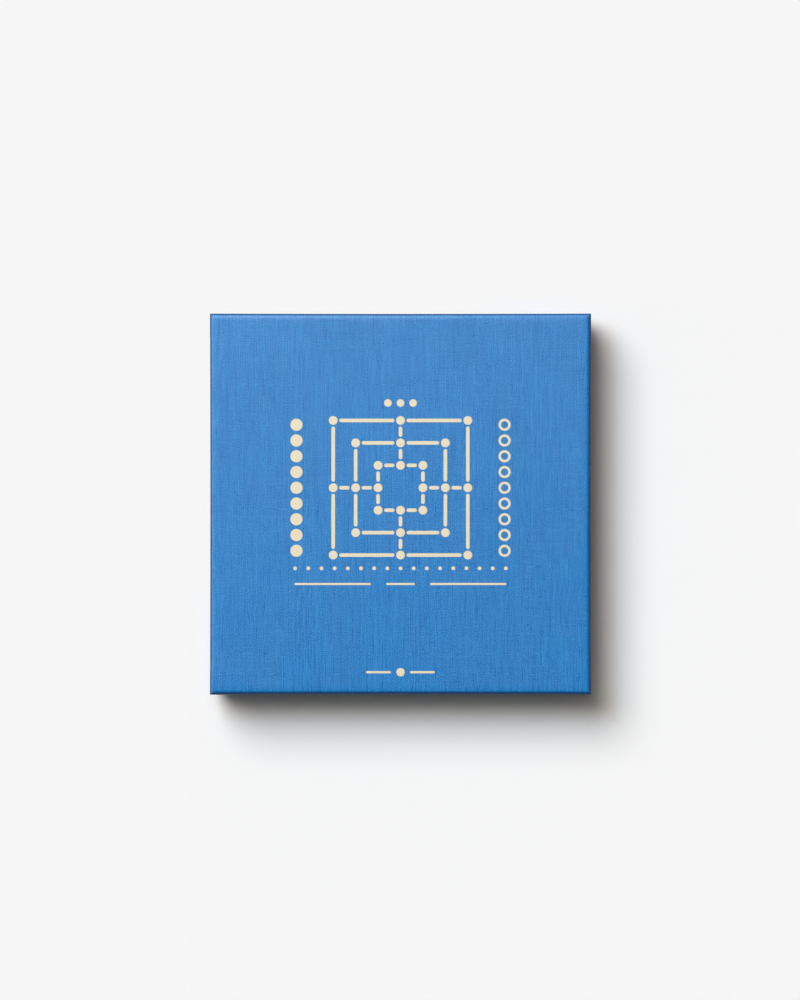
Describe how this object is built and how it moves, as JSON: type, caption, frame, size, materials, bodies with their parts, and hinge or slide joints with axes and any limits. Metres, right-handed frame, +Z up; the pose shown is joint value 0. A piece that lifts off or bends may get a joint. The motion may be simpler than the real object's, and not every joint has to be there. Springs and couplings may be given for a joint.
{
  "type": "nine mens morris box",
  "caption": "Square paper-covered game box with a lift-off lid, holding a foam insert, a mill board, its men and a rule booklet.",
  "frame": {"origin": "middle of the underside of the closed box, on the surface it stands on", "axes": "+Z up through the lid, +X to the right and +Y to the far side as the lid's print is read; the ribbon is at -Y"},
  "size_m": [0.2, 0.2, 0.038],
  "materials": {
    "printed_paper": "satin",
    "greyboard": "matte",
    "corner_tape": "matte",
    "lining_paper": "matte",
    "foam": "matte",
    "beech": "satin",
    "felt": "matte",
    "ribbon": "satin",
    "booklet_paper": "matte",
    "staple_steel": "polished",
    "natural_men": "satin",
    "blue_men": "satin"
  },
  "bodies": {
    "tray": {"tray_board": "greyboard", "tray_corner_stays": "corner_tape", "tray_wrap": "printed_paper", "tray_lining": "lining_paper", "insert_pad": "foam", "insert_deck": "foam"},
    "light_man_1": {"light_man_1": "natural_men"},
    "light_man_2": {"light_man_2": "natural_men"},
    "light_man_3": {"light_man_3": "natural_men"},
    "light_man_4": {"light_man_4": "natural_men"},
    "light_man_5": {"light_man_5": "natural_men"},
    "light_man_6": {"light_man_6": "natural_men"},
    "light_man_7": {"light_man_7": "natural_men"},
    "light_man_8": {"light_man_8": "natural_men"},
    "light_man_9": {"light_man_9": "natural_men"},
    "dark_man_1": {"dark_man_1": "blue_men"},
    "dark_man_2": {"dark_man_2": "blue_men"},
    "dark_man_3": {"dark_man_3": "blue_men"},
    "dark_man_4": {"dark_man_4": "blue_men"},
    "dark_man_5": {"dark_man_5": "blue_men"},
    "dark_man_6": {"dark_man_6": "blue_men"},
    "dark_man_7": {"dark_man_7": "blue_men"},
    "dark_man_8": {"dark_man_8": "blue_men"},
    "dark_man_9": {"dark_man_9": "blue_men"},
    "board": {"playing_board": "beech", "board_felt": "felt", "pull_ribbon": "ribbon"},
    "booklet": {"booklet_cover": "booklet_paper", "booklet_pages": "booklet_paper", "booklet_staples": "staple_steel"},
    "lid": {"lid_board": "greyboard", "lid_corner_stays": "corner_tape", "lid_wrap": "printed_paper", "lid_lining": "lining_paper"}
  },
  "joints": [
    {"name": "light_man_1_lift", "type": "slide", "parent": "tray", "child": "light_man_1", "axis": [0, 0, 1], "range_m": [0, 0.03]},
    {"name": "light_man_2_lift", "type": "slide", "parent": "tray", "child": "light_man_2", "axis": [0, 0, 1], "range_m": [0, 0.03]},
    {"name": "light_man_3_lift", "type": "slide", "parent": "tray", "child": "light_man_3", "axis": [0, 0, 1], "range_m": [0, 0.03]},
    {"name": "light_man_4_lift", "type": "slide", "parent": "tray", "child": "light_man_4", "axis": [0, 0, 1], "range_m": [0, 0.03]},
    {"name": "light_man_5_lift", "type": "slide", "parent": "tray", "child": "light_man_5", "axis": [0, 0, 1], "range_m": [0, 0.03]},
    {"name": "light_man_6_lift", "type": "slide", "parent": "tray", "child": "light_man_6", "axis": [0, 0, 1], "range_m": [0, 0.03]},
    {"name": "light_man_7_lift", "type": "slide", "parent": "tray", "child": "light_man_7", "axis": [0, 0, 1], "range_m": [0, 0.03]},
    {"name": "light_man_8_lift", "type": "slide", "parent": "tray", "child": "light_man_8", "axis": [0, 0, 1], "range_m": [0, 0.03]},
    {"name": "light_man_9_lift", "type": "slide", "parent": "tray", "child": "light_man_9", "axis": [0, 0, 1], "range_m": [0, 0.03]},
    {"name": "dark_man_1_lift", "type": "slide", "parent": "tray", "child": "dark_man_1", "axis": [0, 0, 1], "range_m": [0, 0.03]},
    {"name": "dark_man_2_lift", "type": "slide", "parent": "tray", "child": "dark_man_2", "axis": [0, 0, 1], "range_m": [0, 0.03]},
    {"name": "dark_man_3_lift", "type": "slide", "parent": "tray", "child": "dark_man_3", "axis": [0, 0, 1], "range_m": [0, 0.03]},
    {"name": "dark_man_4_lift", "type": "slide", "parent": "tray", "child": "dark_man_4", "axis": [0, 0, 1], "range_m": [0, 0.03]},
    {"name": "dark_man_5_lift", "type": "slide", "parent": "tray", "child": "dark_man_5", "axis": [0, 0, 1], "range_m": [0, 0.03]},
    {"name": "dark_man_6_lift", "type": "slide", "parent": "tray", "child": "dark_man_6", "axis": [0, 0, 1], "range_m": [0, 0.03]},
    {"name": "dark_man_7_lift", "type": "slide", "parent": "tray", "child": "dark_man_7", "axis": [0, 0, 1], "range_m": [0, 0.03]},
    {"name": "dark_man_8_lift", "type": "slide", "parent": "tray", "child": "dark_man_8", "axis": [0, 0, 1], "range_m": [0, 0.03]},
    {"name": "dark_man_9_lift", "type": "slide", "parent": "tray", "child": "dark_man_9", "axis": [0, 0, 1], "range_m": [0, 0.03]},
    {"name": "board_lift", "type": "slide", "parent": "light_man_1", "child": "board", "axis": [0, 0, 1], "range_m": [0, 0.05]},
    {"name": "booklet_lift", "type": "slide", "parent": "board", "child": "booklet", "axis": [0, 0, 1], "range_m": [0, 0.04]},
    {"name": "lid_lift", "type": "slide", "parent": "booklet", "child": "lid", "axis": [0, 0, 1], "range_m": [0, 0.08]}
  ],
  "couplings": [
    {"joint": "light_man_2_lift", "follows": "light_man_1_lift", "ratio": 1},
    {"joint": "light_man_3_lift", "follows": "light_man_1_lift", "ratio": 1},
    {"joint": "light_man_4_lift", "follows": "light_man_1_lift", "ratio": 1},
    {"joint": "light_man_5_lift", "follows": "light_man_1_lift", "ratio": 1},
    {"joint": "light_man_6_lift", "follows": "light_man_1_lift", "ratio": 1},
    {"joint": "light_man_7_lift", "follows": "light_man_1_lift", "ratio": 1},
    {"joint": "light_man_8_lift", "follows": "light_man_1_lift", "ratio": 1},
    {"joint": "light_man_9_lift", "follows": "light_man_1_lift", "ratio": 1},
    {"joint": "dark_man_1_lift", "follows": "light_man_1_lift", "ratio": 1},
    {"joint": "dark_man_2_lift", "follows": "light_man_1_lift", "ratio": 1},
    {"joint": "dark_man_3_lift", "follows": "light_man_1_lift", "ratio": 1},
    {"joint": "dark_man_4_lift", "follows": "light_man_1_lift", "ratio": 1},
    {"joint": "dark_man_5_lift", "follows": "light_man_1_lift", "ratio": 1},
    {"joint": "dark_man_6_lift", "follows": "light_man_1_lift", "ratio": 1},
    {"joint": "dark_man_7_lift", "follows": "light_man_1_lift", "ratio": 1},
    {"joint": "dark_man_8_lift", "follows": "light_man_1_lift", "ratio": 1},
    {"joint": "dark_man_9_lift", "follows": "light_man_1_lift", "ratio": 1}
  ]
}
